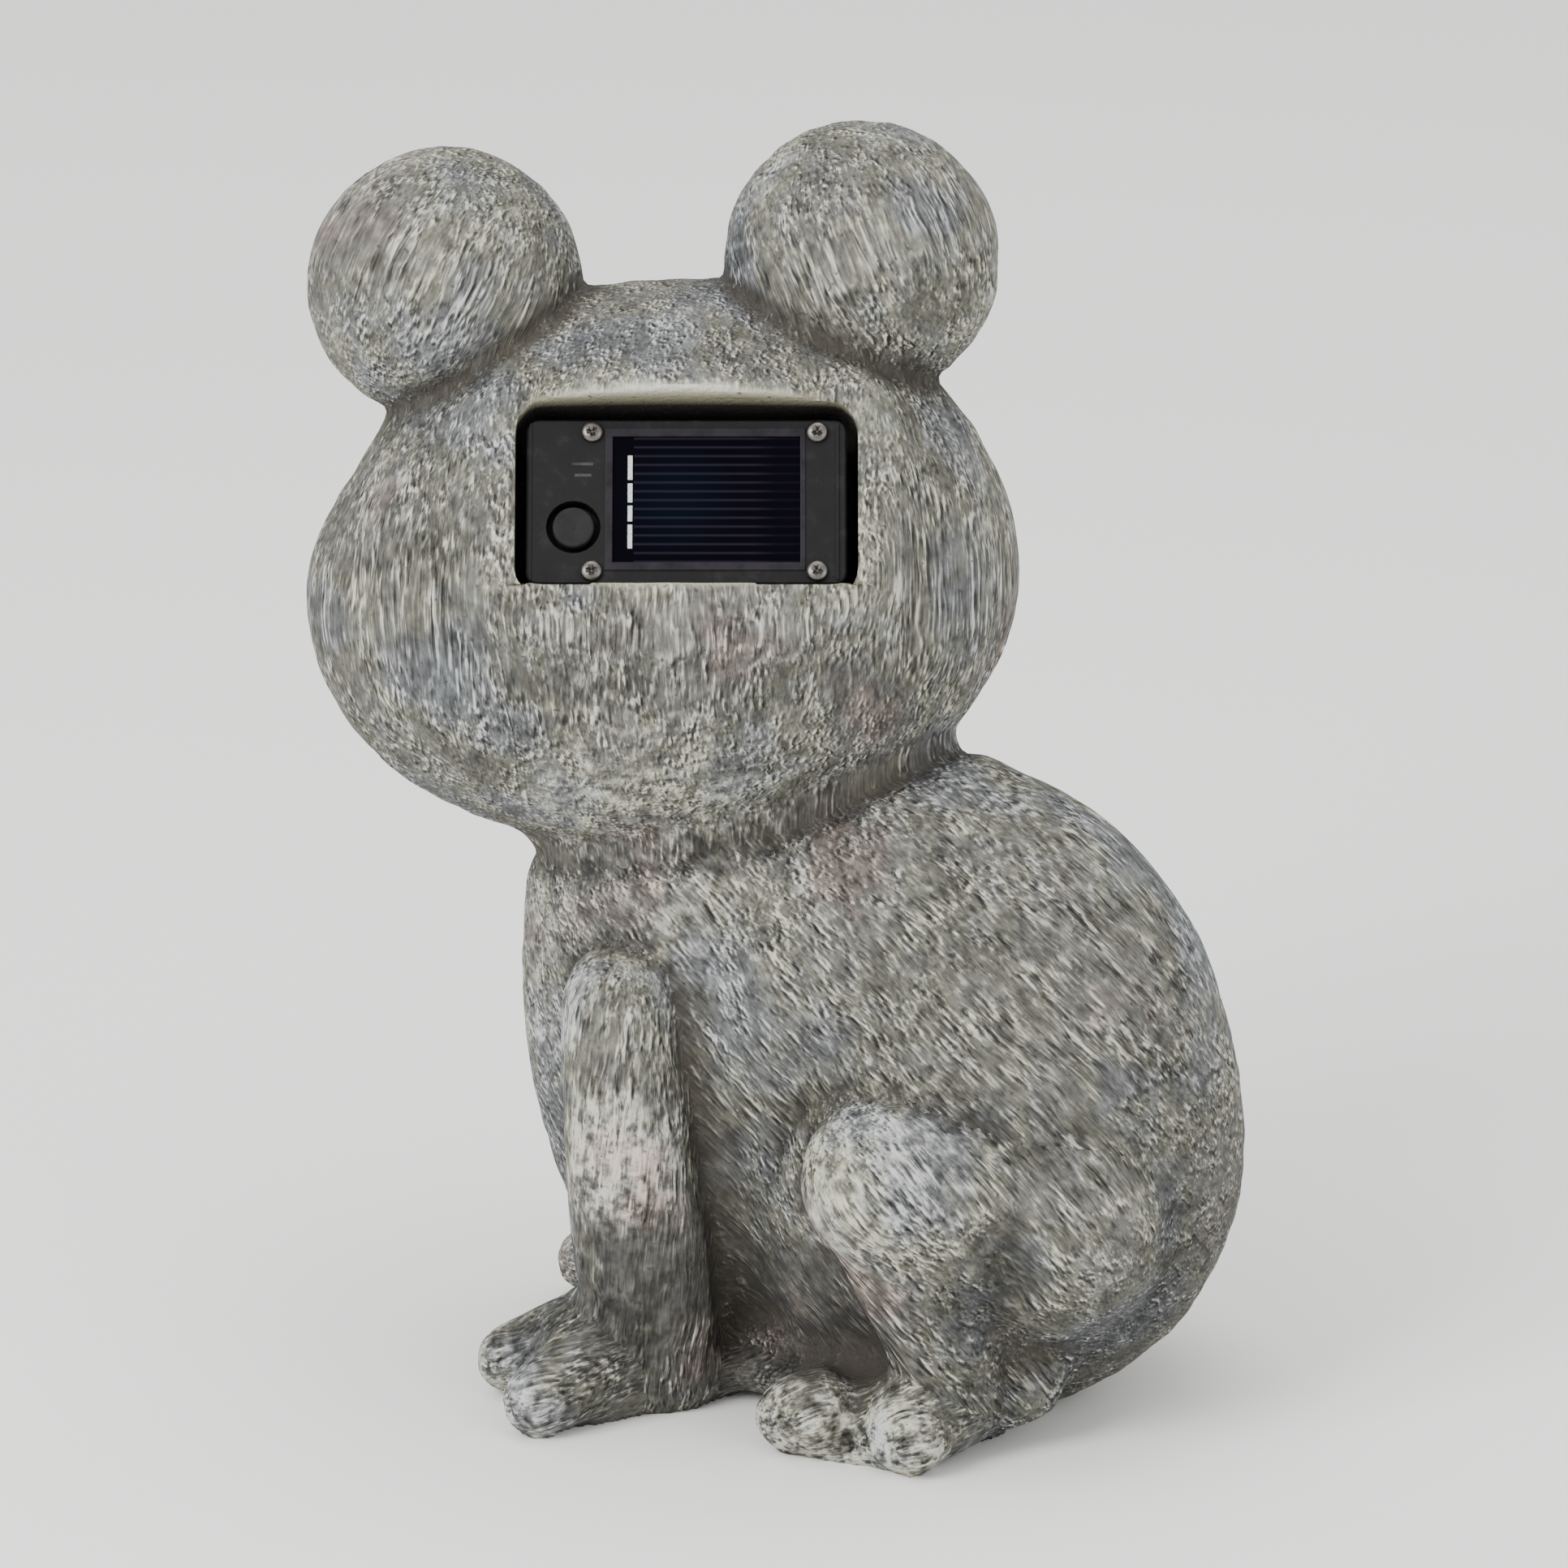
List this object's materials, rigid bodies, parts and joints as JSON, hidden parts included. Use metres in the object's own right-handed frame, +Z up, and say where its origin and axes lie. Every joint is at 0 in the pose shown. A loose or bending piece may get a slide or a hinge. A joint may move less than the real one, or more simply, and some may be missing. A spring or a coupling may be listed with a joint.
{
  "type": "solar frog statue",
  "caption": "Sitting garden frog in cast stone, looking over its shoulder, with a small solar lamp module recessed in the back of its head.",
  "frame": {"origin": "on the ground, under the middle of the whole statue's bounding box", "axes": "+Z up; the frog's face looks along -Y and the solar module along +Y and up; its body points to +X"},
  "size_m": [0.2048, 0.1534, 0.2782],
  "materials": {
    "cast_stone": "mid grey stone-like resin with a coarse brushed texture, dry-brushed off-white on the ridges and dark in the pits",
    "black_plastic": "satin black ABS",
    "cell_glass": "dark navy solar cell with fine finger lines under a clear window",
    "black_rubber": "matte dark grey rubber",
    "screw_steel": "bright nickel-plated pan heads with a cross recess"
  },
  "bodies": {
    "statue": {"frog": "cast_stone", "panel_housing": "black_plastic", "solar_cell": "cell_glass", "screw_upper_left": "screw_steel", "screw_upper_right": "screw_steel", "screw_lower_left": "screw_steel", "screw_lower_right": "screw_steel"},
    "button": {"push_button": "black_rubber"}
  },
  "joints": [
    {"name": "button_press", "type": "slide", "parent": "statue", "child": "button", "axis": [0, -0.8387, -0.5446], "range_m": [0, 0.0015], "stiffness_N_per_m": 400, "springref_m": -0.001}
  ]
}
